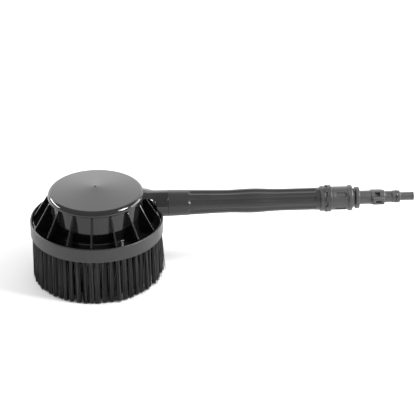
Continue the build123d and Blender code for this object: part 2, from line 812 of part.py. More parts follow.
def tip_seal():
    """O-ring in the collar behind the tip tube."""
    section = nose_groove_width / 2 - slip
    groove_x = (nose_x1 + nose_collar_x1) / 2
    return o_ring_x(nose_collar_radius - nose_groove_depth, section, groove_x, handle_z)


SUBPARTS = [
    cap_cover, socket_lower, socket_screws, water_elbow, duct_seal, elbow_seal, water_tube,
    grip, grip_collar, lock_ring, coupling_body, coupling_seal, spindle, spindle_seal,
    spindle_screws, spindle_nut, jet_nozzles, washer_upper, washer_lower,
    rotor_bell, bell_fins, bearing_bush, vane_ring, vane_screws, brush_ring,
    tufts_outer, tufts_middle, tufts_inner,
    bayonet_adapter, stem_seal, tip_seal,
]

os.makedirs("parts", exist_ok=True)
for make in SUBPARTS:
    export_step(make(), f"parts/{make.__name__}.step")
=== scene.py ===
import bmesh
import bpy
import functools
import math
import random
from mathutils import Matrix, Quaternion, Vector


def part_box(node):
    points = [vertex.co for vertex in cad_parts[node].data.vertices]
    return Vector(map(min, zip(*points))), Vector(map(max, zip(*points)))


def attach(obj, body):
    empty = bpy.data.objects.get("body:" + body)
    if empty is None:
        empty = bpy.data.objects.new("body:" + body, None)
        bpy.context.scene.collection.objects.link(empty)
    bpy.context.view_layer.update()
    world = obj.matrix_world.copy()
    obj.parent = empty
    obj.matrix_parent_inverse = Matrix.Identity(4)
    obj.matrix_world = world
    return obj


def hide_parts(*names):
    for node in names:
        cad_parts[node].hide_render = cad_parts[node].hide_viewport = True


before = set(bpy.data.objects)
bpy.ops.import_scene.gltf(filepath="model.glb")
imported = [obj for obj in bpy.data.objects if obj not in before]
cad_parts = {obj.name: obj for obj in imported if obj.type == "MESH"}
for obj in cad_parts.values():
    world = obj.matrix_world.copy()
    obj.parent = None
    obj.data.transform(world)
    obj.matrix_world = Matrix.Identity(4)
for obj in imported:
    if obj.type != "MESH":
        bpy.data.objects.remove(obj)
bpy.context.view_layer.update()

MM = 0.001
TURN = 2 * math.pi

# ---------------------------------------------------------------- places read from the frame

ring_low, ring_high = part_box("brush_ring")
bell_low, bell_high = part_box("rotor_bell")
cap_low, cap_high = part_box("cap_cover")
socket_low, socket_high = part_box("socket_lower")
grip_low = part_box("grip")[0]
collar_low, collar_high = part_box("grip_collar")
lock_low, lock_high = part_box("lock_ring")
coupling_low, coupling_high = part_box("coupling_body")
adapter_low, adapter_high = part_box("bayonet_adapter")
fins_top_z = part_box("bell_fins")[1].z

handle_z = (adapter_low.z + adapter_high.z) / 2
ring_radius = (ring_high.y - ring_low.y) / 2
cap_radius = (cap_high.y - cap_low.y) / 2
tip_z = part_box("tufts_outer")[0].z
split_z = socket_high.z


# ---------------------------------------------------------------- shader sums

class Wire:
    """A shader socket that can be used in sums."""

    def __init__(self, tree, socket):
        self.tree, self.socket = tree, socket

    def sum_with(self, operation, other):
        node = self.tree.nodes.new("ShaderNodeMath")
        node.operation = operation
        for place, value in enumerate((self, other)):
            if isinstance(value, Wire):
                self.tree.links.new(value.socket, node.inputs[place])
            else:
                node.inputs[place].default_value = value
        return Wire(self.tree, node.outputs[0])

    def __add__(self, other):
        return self.sum_with("ADD", other)

    def __mul__(self, other):
        return self.sum_with("MULTIPLY", other)

    __radd__ = __add__
    __rmul__ = __mul__


class Finish:
    """A material that is built up from nodes, with a Principled shader at its end."""

    def __init__(self, name, roughness, specular=0.5):
        self.material = bpy.data.materials.new(name)
        self.material.use_nodes = True
        self.tree = self.material.node_tree
        self.shader = self.tree.nodes["Principled BSDF"]
        self.shader.inputs["Roughness"].default_value = roughness
        self.shader.inputs["Specular IOR Level"].default_value = specular
        self.place = self.node("ShaderNodeTexCoord")["Object"]

    def node(self, kind, settings=None, **sockets):
        """A node of a type: settings first, then values or wires for its sockets."""
        node = self.tree.nodes.new(kind)
        for name, value in (settings or {}).items():
            setattr(node, name, value)
        for name, value in sockets.items():
            socket = node.inputs[name.replace("_", " ")]
            if isinstance(value, Wire):
                self.tree.links.new(value.socket, socket)
            else:
                socket.default_value = value
        return {out.name: Wire(self.tree, out) for out in node.outputs if out.enabled}

    def feed(self, name, wire):
        self.tree.links.new(wire.socket, self.shader.inputs[name])

    def noise(self, scale, detail=3.0, rough=0.5, at=None):
        """Fractal noise in object space; scale is in cycles per metre."""
        return self.node("ShaderNodeTexNoise", None, Vector=at or self.place, Scale=scale,
                         Detail=detail, Roughness=rough)["Fac"]

    def stretched(self, x, y, z):
        """Object space scaled along each axis."""
        return self.node("ShaderNodeMapping", None, Vector=self.place, Scale=(x, y, z))["Vector"]

    def between(self, wire, low, high):
        """A smooth step: 0 below low and 1 above high."""
        return self.node("ShaderNodeMapRange", {"interpolation_type": "SMOOTHSTEP"}, Value=wire,
                         From_Min=low, From_Max=high)["Result"]

    def blend(self, factor, first, second):
        """A mix of two colours, each a wire or a triple."""
        node = self.tree.nodes.new("ShaderNodeMix")
        node.data_type = "RGBA"
        for name, value in (("Factor_Float", factor), ("A_Color", first), ("B_Color", second)):
            socket = next(s for s in node.inputs if s.identifier == name)
            if isinstance(value, Wire):
                self.tree.links.new(value.socket, socket)
            else:
                socket.default_value = value if name == "Factor_Float" else (*value, 1.0)
        out = next(s for s in node.outputs if s.identifier == "Result_Color")
        return Wire(self.tree, out)

    def bump(self, height, distance, strength):
        """Relief from a height wire; distance is in metres."""
        return self.node("ShaderNodeBump", None, Height=height, Distance=distance,
                         Strength=strength)["Normal"]

    def edge_wear(self):
        """1 along outward edges and 0 elsewhere."""
        return self.between(self.node("ShaderNodeNewGeometry")["Pointiness"], 0.52, 0.60)


# ---------------------------------------------------------------- finishes

def shade(grey):
    return (grey,) * 3


def gloss_plastic(name, grey, roughness):
    """Glossy black moulded plastic: faint flow, dust specks and fine handling marks."""
    f = Finish(name, roughness)
    flow = f.noise(18.0, 4.0)
    dust = f.between(f.noise(2600.0, 1.0), 0.80, 0.84)
    smear = f.between(f.noise(60.0, 5.0, 0.6), 0.50, 0.75)
    base = f.blend(flow, shade(grey * 0.8), shade(grey * 1.3))
    f.feed("Base Color", f.blend(dust * 0.5, base, shade(0.18)))
    f.feed("Roughness", roughness + smear * 0.05 + dust * 0.4)
    peel = f.noise(420.0, 2.0)
    f.feed("Normal", f.bump(peel, 0.025 * MM, 0.35))
    return f.material


def satin_plastic(name, grey, roughness):
    """Satin black moulded plastic: spark-eroded grain, mottling and lighter worn edges."""
    grain, relief, wear = 2600.0, 0.05 * MM, 0.025
    f = Finish(name, roughness)
    mottle = f.noise(70.0, 5.0, 0.6)
    fine = f.noise(grain, 2.0, 0.6)
    base = f.blend(mottle, shade(grey * 0.75), shade(grey * 1.35))
    worn = f.edge_wear() * f.noise(300.0, 3.0)
    f.feed("Base Color", f.blend(worn, base, shade(grey + wear)))
    f.feed("Roughness", roughness - 0.08 + mottle * 0.12 + fine * 0.06)
    f.feed("Normal", f.bump(fine, relief, 0.5))
    return f.material


def grip_plastic():
    """Satin grip: fine grain, long drag marks along the handle and polished high spots."""
    grey, roughness = 0.013, 0.34
    f = Finish("grip_satin", roughness)
    streak = f.noise(1.0, 4.0, 0.6, at=f.stretched(14.0, 420.0, 420.0))
    mottle = f.noise(55.0, 5.0, 0.6)
    fine = f.noise(2200.0, 2.0, 0.6)
    scuff = f.between(f.noise(150.0, 4.0, 0.7), 0.66, 0.74)
    base = f.blend(streak, shade(grey * 0.8), shade(grey * 1.4))
    f.feed("Base Color", f.blend(scuff * 0.35, base, (0.09, 0.09, 0.092)))
    f.feed("Roughness", roughness - 0.06 + mottle * 0.1 + streak * 0.06)
    f.feed("Normal", f.bump(fine * 0.6 + streak * 0.5, 0.06 * MM, 0.5))
    return f.material


def nylon_bristle():
    """Black nylon filament: slight sheen, with brightness that varies from tuft to tuft."""
    f = Finish("bristle_nylon", 0.42, specular=0.45)
    clump = f.noise(1.0, 3.0, 0.5, at=f.stretched(170.0, 170.0, 9.0))
    fine = f.noise(1.0, 2.0, 0.5, at=f.stretched(1500.0, 1500.0, 40.0))
    f.feed("Base Color", f.blend(clump, shade(0.004), (0.018, 0.0175, 0.017)))
    f.feed("Roughness", 0.34 + fine * 0.2)
    return f.material


def seal_rubber():
    """Black O-ring rubber with a wet-looking grease film."""
    f = Finish("seal_rubber", 0.22, specular=0.6)
    film = f.noise(500.0, 3.0)
    f.feed("Base Color", f.blend(film, shade(0.008), shade(0.02)))
    f.feed("Roughness", 0.16 + film * 0.2)
    f.feed("Normal", f.bump(film, 0.08 * MM, 0.4))
    return f.material


def bright_metal(name, colour, roughness):
    """Turned metal: ring marks round the part and slight tarnish."""
    f = Finish(name, roughness)
    f.shader.inputs["Metallic"].default_value = 1.0
    turning = f.noise(1.0, 3.0, at=f.stretched(300.0, 300.0, 6000.0))
    tarnish = f.noise(180.0, 5.0, 0.6)
    dull = tuple(c * 0.6 for c in colour)
    f.feed("Base Color", f.blend(tarnish, dull, colour))
    f.feed("Roughness", roughness + turning * 0.12 + tarnish * 0.1)
    f.feed("Normal", f.bump(turning, 0.03 * MM, 0.5))
    return f.material


def pale_acetal():
    """Off-white acetal with a slightly waxy surface."""
    f = Finish("bush_acetal", 0.4)
    cloud = f.noise(120.0, 4.0)
    f.feed("Base Color", f.blend(cloud, (0.62, 0.61, 0.58), (0.78, 0.77, 0.74)))
    f.feed("Roughness", 0.34 + cloud * 0.14)
    f.feed("Normal", f.bump(f.noise(1800.0, 2.0), 0.03 * MM, 0.4))
    return f.material


cap_finish = gloss_plastic("cap_gloss", 0.008, 0.085)
bell_finish = gloss_plastic("bell_gloss", 0.005, 0.075)
ring_finish = satin_plastic("ring_satin", 0.016, 0.34)
collar_finish = satin_plastic("collar_satin", 0.030, 0.40)
coupling_finish = satin_plastic("coupling_satin", 0.040, 0.42)
adapter_finish = satin_plastic("adapter_satin", 0.044, 0.42)
inner_finish = satin_plastic("inner_plastic", 0.030, 0.40)
grip_finish = grip_plastic()
bristle_finish = nylon_bristle()
rubber_finish = seal_rubber()
steel_finish = bright_metal("screw_steel", (0.62, 0.62, 0.60), 0.24)
brass_finish = bright_metal("nozzle_brass", (0.78, 0.60, 0.30), 0.22)
acetal_finish = pale_acetal()


# ---------------------------------------------------------------- mesh tools

def round_spin(along, out, angle):
    """A point by its height, its radius and its angle round the spin axis."""
    return (out * math.cos(angle), out * math.sin(angle), along)


def round_handle(along, out, angle):
    """A point round the handle axis; the angle runs from straight up towards -Y."""
    return (along, -out * math.sin(angle), handle_z + out * math.cos(angle))


def soften(corners, steps, margin=0.3 * MM, share=0.48):
    """A closed outline of (along, out) points from (along, out, rounding) corners."""
    outline = []
    for i, (along, out, rounding) in enumerate(corners):
        here = Vector((along, out))
        if not rounding:
            outline.append(here)
            continue
        back = Vector(corners[i - 1][:2]) - here
        ahead = Vector(corners[(i + 1) % len(corners)][:2]) - here
        half = back.angle(ahead) / 2
        reach = min(rounding / math.tan(half), back.length * share, ahead.length * share)
        radius = reach * math.tan(half)
        centre = here + (back.normalized() + ahead.normalized()).normalized() * radius / math.sin(half)
        first = here + back.normalized() * reach - centre
        last = here + ahead.normalized() * reach - centre
        outline += [centre + first.slerp(last, k / steps) * radius for k in range(steps + 1)]
    return with_margins(outline, margin)


def with_margins(outline, margin):
    """Extra points near both ends of each long run, so that smooth shading keeps it flat."""
    full = []
    for i, here in enumerate(outline):
        ahead = outline[(i + 1) % len(outline)]
        full.append(here)
        run = ahead - here
        if run.length > 3 * margin:
            step = run.normalized() * margin
            full += [here + step, ahead - step]
    return full


def refined(outline, longest):
    """The outline with no run longer than a limit."""
    full = []
    for i, here in enumerate(outline):
        ahead = outline[(i + 1) % len(outline)]
        parts = max(1, math.ceil((ahead - here).length / longest))
        full += [here.lerp(ahead, k / parts) for k in range(parts)]
    return full


same_point = 1e-7


def turn_mesh(outline, steps, place, shape=None, span=None):
    """A closed outline turned round an axis, or through a span of it with flat ends."""
    mesh = bmesh.new()
    start, sweep = (0.0, TURN) if span is None else (span[0], span[1] - span[0])
    columns = steps if span is None else steps + 1
    rings = []
    for along, out in outline:
        ring = []
        for k in range(columns):
            angle = start + sweep * k / steps
            radius = shape(along, out, angle) if shape else out
            ring.append(mesh.verts.new(place(along, radius, angle)))
        rings.append(ring)
    for i, ring in enumerate(rings):
        after = rings[(i + 1) % len(rings)]
        for k in range(steps):
            nxt = (k + 1) % columns
            mesh.faces.new((ring[k], ring[nxt], after[nxt], after[k]))
    if span is not None:
        mesh.faces.new([ring[0] for ring in rings])
        mesh.faces.new([ring[-1] for ring in reversed(rings)])
    bmesh.ops.remove_doubles(mesh, verts=mesh.verts, dist=same_point)
    return mesh


def loft_mesh(loops):
    """A closed skin through loops of points, capped at both ends."""
    mesh = bmesh.new()
    rows = [[mesh.verts.new(p) for p in loop] for loop in loops]
    for one, two in zip(rows, rows[1:]):
        for k in range(len(one)):
            nxt = (k + 1) % len(one)
            mesh.faces.new((one[k], one[nxt], two[nxt], two[k]))
    mesh.faces.new(rows[0])
    mesh.faces.new(list(reversed(rows[-1])))
    return mesh


def plate_mesh(outline, thickness, bevel, place):
    """A flat plate from an outline, with softened edges; place turns (u, v, across) into a point."""
    mesh = bmesh.new()
    half = thickness / 2
    sides = [[mesh.verts.new(place(u, v, w)) for u, v in outline] for w in (-half, half)]
    mesh.faces.new(sides[0])
    mesh.faces.new(list(reversed(sides[1])))
    for k in range(len(outline)):
        nxt = (k + 1) % len(outline)
        mesh.faces.new((sides[0][k], sides[0][nxt], sides[1][nxt], sides[1][k]))
    bmesh.ops.recalc_face_normals(mesh, faces=mesh.faces)
    bmesh.ops.bevel(mesh, geom=mesh.edges[:], offset=bevel, segments=2, profile=0.5,
                    affect="EDGES", clamp_overlap=True)
    return mesh


def upright(u, v, across):
    """Places an outline drawn as radius and height in the plane of the spin axis."""
    return (u, across, v)


def block_mesh(low, high, bevel):
    """A softened block between two corners."""
    outline = [(low[0], low[2]), (high[0], low[2]), (high[0], high[2]), (low[0], high[2])]
    middle = (low[1] + high[1]) / 2
    return plate_mesh(outline, high[1] - low[1], bevel, lambda u, v, w: (u, middle + w, v))


def turned_copy(mesh, angle, axis="Z", centre=(0, 0, 0)):
    """A copy of a mesh turned about an axis through a centre."""
    copy = mesh.copy()
    bmesh.ops.rotate(copy, verts=copy.verts, cent=centre, matrix=Matrix.Rotation(angle, 3, axis))
    return copy


def piece(name, meshes, finish, body, nodes, weighted=False, sharp=38):
    """One object from meshes, which rides on a body and stands for CAD nodes."""
    joined = bmesh.new()
    for part in meshes:
        bmesh.ops.recalc_face_normals(part, faces=part.faces)
        part_mesh = bpy.data.meshes.new("part")
        part.to_mesh(part_mesh)
        part.free()
        joined.from_mesh(part_mesh)
        bpy.data.meshes.remove(part_mesh)
    mesh = bpy.data.meshes.new(name)
    joined.to_mesh(mesh)
    joined.free()
    return shown(name, mesh, finish, body, nodes, weighted, sharp)


def shown(name, mesh, finish, body, nodes, weighted=False, sharp=38):
    """Puts a mesh in the scene as a finished piece."""
    mesh.polygons.foreach_set("use_smooth", [True] * len(mesh.polygons))
    mesh.set_sharp_from_angle(angle=math.radians(sharp))
    mesh.materials.append(finish)
    thing = bpy.data.objects.new(name, mesh)
    bpy.context.scene.collection.objects.link(thing)
    if weighted:
        thing.modifiers.new("even_shading", "WEIGHTED_NORMAL").keep_sharp = True
    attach(thing, body)
    if nodes:
        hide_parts(*nodes)
    return thing


def ramp(value, low, high):
    """A smooth step from 0 at low to 1 at high."""
    t = min(1.0, max(0.0, (value - low) / (high - low)))
    return t * t * (3 - 2 * t)


def angle_apart(a, b):
    """The signed angle from b to a, within half a turn."""
    return (a - b + math.pi) % TURN - math.pi


# ---------------------------------------------------------------- cap, bridge and socket

cap_wall = 2.5 * MM
rim_height = 6.0 * MM
edge_round = 5.5 * MM
dome_drop = 5.8 * MM
dimple_depth = 1.1 * MM
dimple_radius = 1.9 * MM
skirt_z = bell_high.z + 0.8 * MM
rim_z = skirt_z + rim_height
apex_z = rim_z + dome_drop
bridge_foot_z = handle_z + 8.9 * MM
socket_radius = (socket_high.y - socket_low.y) / 2
socket_start = socket_low.x
socket_end = socket_high.x
socket_wall = 2.9 * MM
socket_front = 3.6 * MM


def dome_height(radius):
    """The cap's top surface inside its rounded edge."""
    return apex_z - dome_drop * radius / cap_radius


def cap_mesh():
    """The domed cap with the small dimple at its centre."""
    slope = dome_drop / cap_radius
    inner = cap_radius - cap_wall
    corners = [(apex_z - dimple_depth, 0, 0), (apex_z - 1.05 * MM, 1.1 * MM, 0.4 * MM),
               (apex_z - slope * dimple_radius, dimple_radius, 0.3 * MM), (rim_z, cap_radius, edge_round),
               (skirt_z, cap_radius, 0.5 * MM), (skirt_z, inner, 0.4 * MM),
               (apex_z - cap_wall - slope * inner, inner, 2.0 * MM), (apex_z - cap_wall, 0, 0)]
    return turn_mesh(refined(soften(corners, 10, share=0.9), 4 * MM), 192, round_spin)


def arch_section(x, half_width, top_z, foot_z):
    """One cross-section of the bridge: an arc over a flat foot."""
    arc_half, foot_steps = 14, 8
    rise = top_z - foot_z
    radius = (rise * rise + half_width * half_width) / (2 * rise)
    centre = top_z - radius
    limit = math.acos((foot_z - centre) / radius)
    arc = [limit * (k / arc_half - 1) for k in range(2 * arc_half + 1)]
    loop = [(x, radius * math.sin(a), centre + radius * math.cos(a)) for a in arc]
    flat = half_width - 0.5 * MM
    loop += [(x, flat - 2 * flat * k / foot_steps, foot_z - 0.15 * MM) for k in range(foot_steps + 1)]
    return loop


def bridge_mesh():
    """The arched arm: flared into the cap's rim, and as wide as the socket's top at the other end."""
    near, far = cap_radius - 10 * MM, socket_start + 1.5 * MM
    end_top = handle_z + socket_radius
    rise = end_top - bridge_foot_z
    end_width = math.sqrt(socket_radius ** 2 - (socket_radius - rise) ** 2)
    count = 30
    loops = []
    for k in range(count + 1):
        x = near + (far - near) * k / count
        past = (x - (cap_radius - 5 * MM)) / (far - cap_radius + 5 * MM)
        flare = 1.0 - ramp(x, near, cap_radius + 6 * MM)
        along_slope = end_top + (rim_z - 0.6 * MM - end_top) * (1 - ramp(past, -0.25, 1.0)) ** 1.1
        top = min(along_slope, dome_height(x) - 0.7 * MM * (x < cap_radius - 6 * MM))
        foot = skirt_z + (bridge_foot_z - skirt_z) * ramp(x, cap_radius + 2.5 * MM, socket_start)
        loops.append(arch_section(x, end_width + 9 * MM * flare ** 2, top, foot))
    return loft_mesh(loops)


def duct_rib_mesh():
    """The duct's tube, which shows as a rib under the bridge."""
    tube_radius, count, sides = 2.6 * MM, 12, 20
    level_z = skirt_z + 2.4 * MM
    start = Vector((cap_radius - 4 * MM, 0, level_z))
    kink = Vector((cap_radius + 4 * MM, 0, level_z))
    end = Vector((socket_start + 3 * MM, 0, handle_z + 7.8 * MM))
    round_tube = [(tube_radius * math.cos(TURN * j / sides), tube_radius * math.sin(TURN * j / sides))
                  for j in range(sides)]
    loops = []
    for k in range(count + 1):
        t = k / count
        centre = start.lerp(kink, t).lerp(kink.lerp(end, t), t)
        loops.append([(centre.x, across, centre.z + up) for across, up in round_tube])
    return loft_mesh(loops)


def socket_half(low_angle, high_angle):
    """One half of the socket: an end wall and a shell, between two angles from straight up."""
    bore = socket_radius - socket_wall
    chamber_start = socket_start + socket_front
    corners = [(socket_start, 0.2 * MM, 0), (socket_start, socket_radius, 0.7 * MM),
               (socket_end, socket_radius, 0.35 * MM), (socket_end, bore, 0.2 * MM),
               (chamber_start, bore, 0.5 * MM), (chamber_start, 0.2 * MM, 0)]
    return turn_mesh(soften(corners, 4), 48, round_handle, span=(low_angle, high_angle))


split_angle = math.acos((split_z - handle_z) / socket_radius)
seam_angle = 0.12 * MM / socket_radius
fin_foot_radius = ring_radius - 4.0 * MM
fin_clearance = 1.0 * MM


def clear_of_fins(mesh):
    """Cuts away the part of a socket half that the turning fins need."""
    sweep_radius = fin_foot_radius + fin_clearance
    rise = fins_top_z - ring_high.z
    inwards = cap_radius + 3 * MM - sweep_radius
    for k in range(-6, 7):
        lean = math.radians(2.2 * k)
        out = Vector((math.cos(lean), math.sin(lean), 0))
        normal = (out * rise - Vector((0, 0, 1)) * inwards).normalized()
        place = out * sweep_radius + Vector((0, 0, ring_high.z))
        cut = bmesh.ops.bisect_plane(mesh, geom=mesh.verts[:] + mesh.edges[:] + mesh.faces[:],
                                     plane_co=place, plane_no=-normal, clear_outer=True)
        edges = [e for e in cut["geom_cut"] if isinstance(e, bmesh.types.BMEdge)]
        if edges:
            bmesh.ops.holes_fill(mesh, edges=edges, sides=0)
    return mesh


upper_socket = socket_half(-split_angle + seam_angle, split_angle - seam_angle)
lower_socket = clear_of_fins(socket_half(split_angle + seam_angle, TURN - split_angle - seam_angle))
piece("cap", [cap_mesh(), bridge_mesh(), duct_rib_mesh(), upper_socket], cap_finish, "body",
      ["cap_cover"])
piece("socket_shell", [lower_socket], cap_finish, "body", ["socket_lower"])


# ---------------------------------------------------------------- rotor bell

flange_low_z = ring_high.z - 8.0 * MM
flange_high_z = flange_low_z + 2.5 * MM
flange_radius = ring_radius - 2.4 * MM
drum_foot_radius = cap_radius + 1.0 * MM
drum_top_radius = cap_radius - 2.0 * MM
drum_wall = 2.2 * MM
fin_count = 16
fin_phase = math.radians(-4.8)
fin_thickness = 2.2 * MM
hub_radius = 13.0 * MM
hub_bore = 9.05 * MM
hub_top_z = bell_low.z + 17.6 * MM
spoke_count = 6
spoke_half_width = 3.0 * MM
spoke_height = 6.0 * MM


def drum_mesh():
    """The bell's leaning drum wall on its floor flange."""
    corners = [(flange_low_z, drum_foot_radius - drum_wall, 0.4 * MM),
               (flange_low_z, flange_radius, 0.5 * MM), (flange_high_z, flange_radius, 0.5 * MM),
               (flange_high_z, drum_foot_radius, 1.6 * MM), (bell_high.z, drum_top_radius, 0.6 * MM),
               (bell_high.z, drum_top_radius - drum_wall, 0.6 * MM)]
    return turn_mesh(refined(soften(corners, 4), 6 * MM), 160, round_spin)


def fin_mesh():
    """One radial fin between the flange and the top of the drum."""
    in_wall = 1.0 * MM
    outline = [(drum_foot_radius - in_wall, flange_high_z - in_wall),
               (flange_radius - 1.0 * MM, flange_high_z - in_wall),
               (fin_foot_radius, ring_high.z),
               (drum_top_radius + 3.2 * MM, bell_high.z - 0.9 * MM),
               (drum_top_radius + 2.2 * MM, bell_high.z - 0.1 * MM),
               (drum_top_radius - in_wall, bell_high.z - 0.1 * MM)]
    return plate_mesh(outline, fin_thickness, 0.4 * MM, upright)


def round_about(mesh, count, phase):
    """Copies of a mesh spaced evenly round the spin axis."""
    copies = [turned_copy(mesh, phase + TURN * i / count) for i in range(count)]
    mesh.free()
    return copies


def hub_mesh():
    corners = [(bell_low.z, hub_bore, 0.3 * MM), (bell_low.z, hub_radius, 0.6 * MM),
               (hub_top_z, hub_radius, 0.6 * MM), (hub_top_z, hub_bore, 0.3 * MM)]
    return turn_mesh(soften(corners, 3), 64, round_spin)


spoke = block_mesh((hub_radius - 2 * MM, -spoke_half_width, flange_low_z),
                   (drum_foot_radius - drum_wall / 2, spoke_half_width, flange_low_z + spoke_height),
                   0.5 * MM)
piece("bell_drum", [drum_mesh()], bell_finish, "rotor", ["rotor_bell"])
piece("bell_fins_shown", round_about(fin_mesh(), fin_count, fin_phase), bell_finish, "rotor",
      ["bell_fins"], weighted=True)
piece("bell_hub", [hub_mesh()] + round_about(spoke, spoke_count, 0.0), bell_finish, "rotor", [],
      weighted=True)


# ---------------------------------------------------------------- brush ring

plate_low_z = ring_low.z + 3.0 * MM
plate_bore = 50.0 * MM
ring_wall = 2.0 * MM


def ring_mesh():
    bore = ring_radius - ring_wall
    corners = [(plate_low_z, plate_bore, 0.6 * MM), (plate_low_z, bore, 0.3 * MM),
               (ring_low.z, bore, 0.4 * MM), (ring_low.z, ring_radius, 0.6 * MM),
               (ring_high.z, ring_radius, 0.9 * MM), (ring_high.z, bore, 0.4 * MM),
               (flange_low_z, bore, 0.4 * MM), (flange_low_z, plate_bore, 0.6 * MM)]
    return turn_mesh(refined(soften(corners, 4), 5 * MM), 200, round_spin)


def hook_mesh():
    """A snap hook on the ring's inner wall, over the bell's flange."""
    wall = ring_radius - ring_wall + 0.5 * MM
    nose = wall - 2.7 * MM
    outline = [(wall, flange_high_z + 0.2 * MM), (nose, flange_high_z + 0.2 * MM),
               (nose, flange_high_z + 0.7 * MM), (wall, flange_high_z + 3.2 * MM)]
    return plate_mesh(outline, 8 * MM, 0.2 * MM, upright)


hook_count = 8
hooks = round_about(hook_mesh(), hook_count, fin_phase + TURN / fin_count / 2)
piece("ring", [ring_mesh()] + hooks, ring_finish, "rotor", ["brush_ring"])


# ---------------------------------------------------------------- bristles

GOLDEN_ANGLE = 2.39996
filament_radius = 0.31 * MM
filament_levels = 7
root_sink = 2.0 * MM
root_spread, tip_spread = 2.15 * MM, 2.9 * MM
stray_share = 0.035
stray_side = 0.3


def filament(points, corners, radius, turn):
    """Adds the corners of a thin three-sided tube along points."""
    for k, point in enumerate(points):
        slim = radius * (1.0 - 0.25 * k / len(points))
        for j in range(3):
            a = turn + TURN * j / 3
            corners.append((point.x + slim * math.cos(a), point.y + slim * math.sin(a), point.z))


def tube_faces(start, levels):
    """Faces of a three-sided tube, with both ends closed."""
    faces = [(start + 2, start + 1, start)]
    for k in range(levels - 1):
        low = start + 3 * k
        faces += [(low + j, low + (j + 1) % 3, low + 3 + (j + 1) % 3, low + 3 + j) for j in range(3)]
    last = start + 3 * (levels - 1)
    return faces + [(last, last + 1, last + 2)]


def bristle_row(name, row_radius, count, per_tuft, level, fan, seed):
    """A row of tufts made of separate filaments, set in the ring's plate."""
    draw = random.Random(seed)
    root_z = plate_low_z + root_sink
    corners, faces = [], []
    for i in range(count):
        angle = TURN * i / count
        out = Vector((math.cos(angle), math.sin(angle), 0))
        side = Vector((-out.y, out.x, 0))
        lean = out * draw.gauss(0, 0.4 * MM) + side * draw.gauss(0, 0.45 * MM)
        trim = draw.uniform(0.0, 0.3) * MM + 1.8 * MM * max(0.0, out.x) ** 2
        for k in range(per_tuft):
            spread = math.sqrt((k + 0.5) / per_tuft)
            spin = k * GOLDEN_ANGLE + draw.uniform(-0.3, 0.3)
            local = out * math.cos(spin) * spread + side * math.sin(spin) * spread
            root = out * row_radius + local * root_spread
            flare = 1.0 + draw.gauss(0, 0.12)
            tip = out * (row_radius + fan) + local * tip_spread * flare + lean
            tip += Vector((draw.gauss(0, 0.45 * MM), draw.gauss(0, 0.45 * MM), 0))
            bow = Vector((draw.gauss(0, 0.3 * MM), draw.gauss(0, 0.3 * MM), 0))
            tip_height = level + trim + abs(draw.gauss(0, 0.4 * MM))
            if out.x > stray_side and draw.random() < stray_share:
                tip += out * draw.uniform(1.5, 4.5) * MM
            points = []
            for step in range(filament_levels):
                t = step / (filament_levels - 1)
                place = root.lerp(tip, t ** 0.75) + bow * math.sin(math.pi * t)
                points.append(Vector((place.x, place.y, root_z + (tip_height - root_z) * t)))
            faces += tube_faces(len(corners), filament_levels)
            filament(points, corners, filament_radius, draw.uniform(0, TURN))
    mesh = bpy.data.meshes.new(name)
    mesh.from_pydata(corners, [], faces)
    return mesh


# Node, inset from the ring's radius, tufts, filaments in each, height above the tip, fan, seed
rows = [("tufts_outer", 4.6 * MM, 60, 60, 0.0, 0.9 * MM, 11),
        ("tufts_middle", 13.4 * MM, 52, 44, 1.0 * MM, 0.0, 12),
        ("tufts_inner", 22.2 * MM, 44, 44, 1.0 * MM, -0.9 * MM, 13)]
for node_name, inset, tufts, each, above, fan_out, seed_number in rows:
    row_mesh = bristle_row(node_name + "_filaments", ring_radius - inset, tufts, each,
                           tip_z + above, fan_out, seed_number)
    shown(node_name + "_filaments", row_mesh, bristle_finish, "rotor", [node_name], sharp=80)


# ---------------------------------------------------------------- grip

grip_start, grip_end = socket_end, collar_low.x
# The grip's radius in millimetres at shares of its length
profile = [(0.0, 16.0), (0.12, 15.45), (0.21, 14.95), (0.39, 14.2), (0.56, 15.0),
           (0.71, 13.75), (0.87, 13.6), (1.0, 13.65)]
flute_count = 8
flute_phase = math.radians(14.0)
flute_half = 3.4 * MM
flute_depth = 1.3 * MM
flute_first = grip_start + 24.0 * MM + flute_half
flute_last = grip_end - 5.0 * MM - flute_half
mould_line_height, mould_line_half = 0.10 * MM, 0.35 * MM
tail_radius = 12.0 * MM
tail_bore = 9.5 * MM
tube_clearance = 5.1 * MM


@functools.lru_cache(None)
def grip_radius(x):
    """The grip's radius at a station, smoothly through the profile."""
    share = (x - grip_start) / (grip_end - grip_start)
    stations = [profile[0]] + profile + [profile[-1]]
    i = max(k for k in range(1, len(profile)) if profile[k - 1][0] <= share + 1e-9)
    before, here, ahead, after = stations[i - 1], stations[i], stations[i + 1], stations[i + 2]
    t = (share - here[0]) / (ahead[0] - here[0])
    width = ahead[0] - here[0]
    slope_in = (ahead[1] - before[1]) / max(ahead[0] - before[0], 1e-6) * width
    slope_out = (after[1] - here[1]) / max(after[0] - here[0], 1e-6) * width
    return MM * ((2 * t ** 3 - 3 * t ** 2 + 1) * here[1] + (t ** 3 - 2 * t ** 2 + t) * slope_in
                 + (3 * t ** 2 - 2 * t ** 3) * ahead[1] + (t ** 3 - t ** 2) * slope_out)


def grip_shape(x, out, angle):
    """The grip's radius with its flutes and its fine mould lines."""
    if not grip_start < x < grip_end or out < grip_radius(x) - 0.6 * MM:
        return out
    pitch = TURN / flute_count
    away = abs((angle - flute_phase + pitch / 2) % pitch - pitch / 2) * out
    past = max(flute_first - x, x - flute_last, 0.0)
    near = math.hypot(away, past) / flute_half
    depth = flute_depth * max(0.0, 1.0 - near ** 2.4)
    line = min(abs(angle_apart(angle, 0.5 * math.pi)), abs(angle_apart(angle, 1.5 * math.pi))) * out
    return out - depth + mould_line_height * max(0.0, 1.0 - line / mould_line_half)


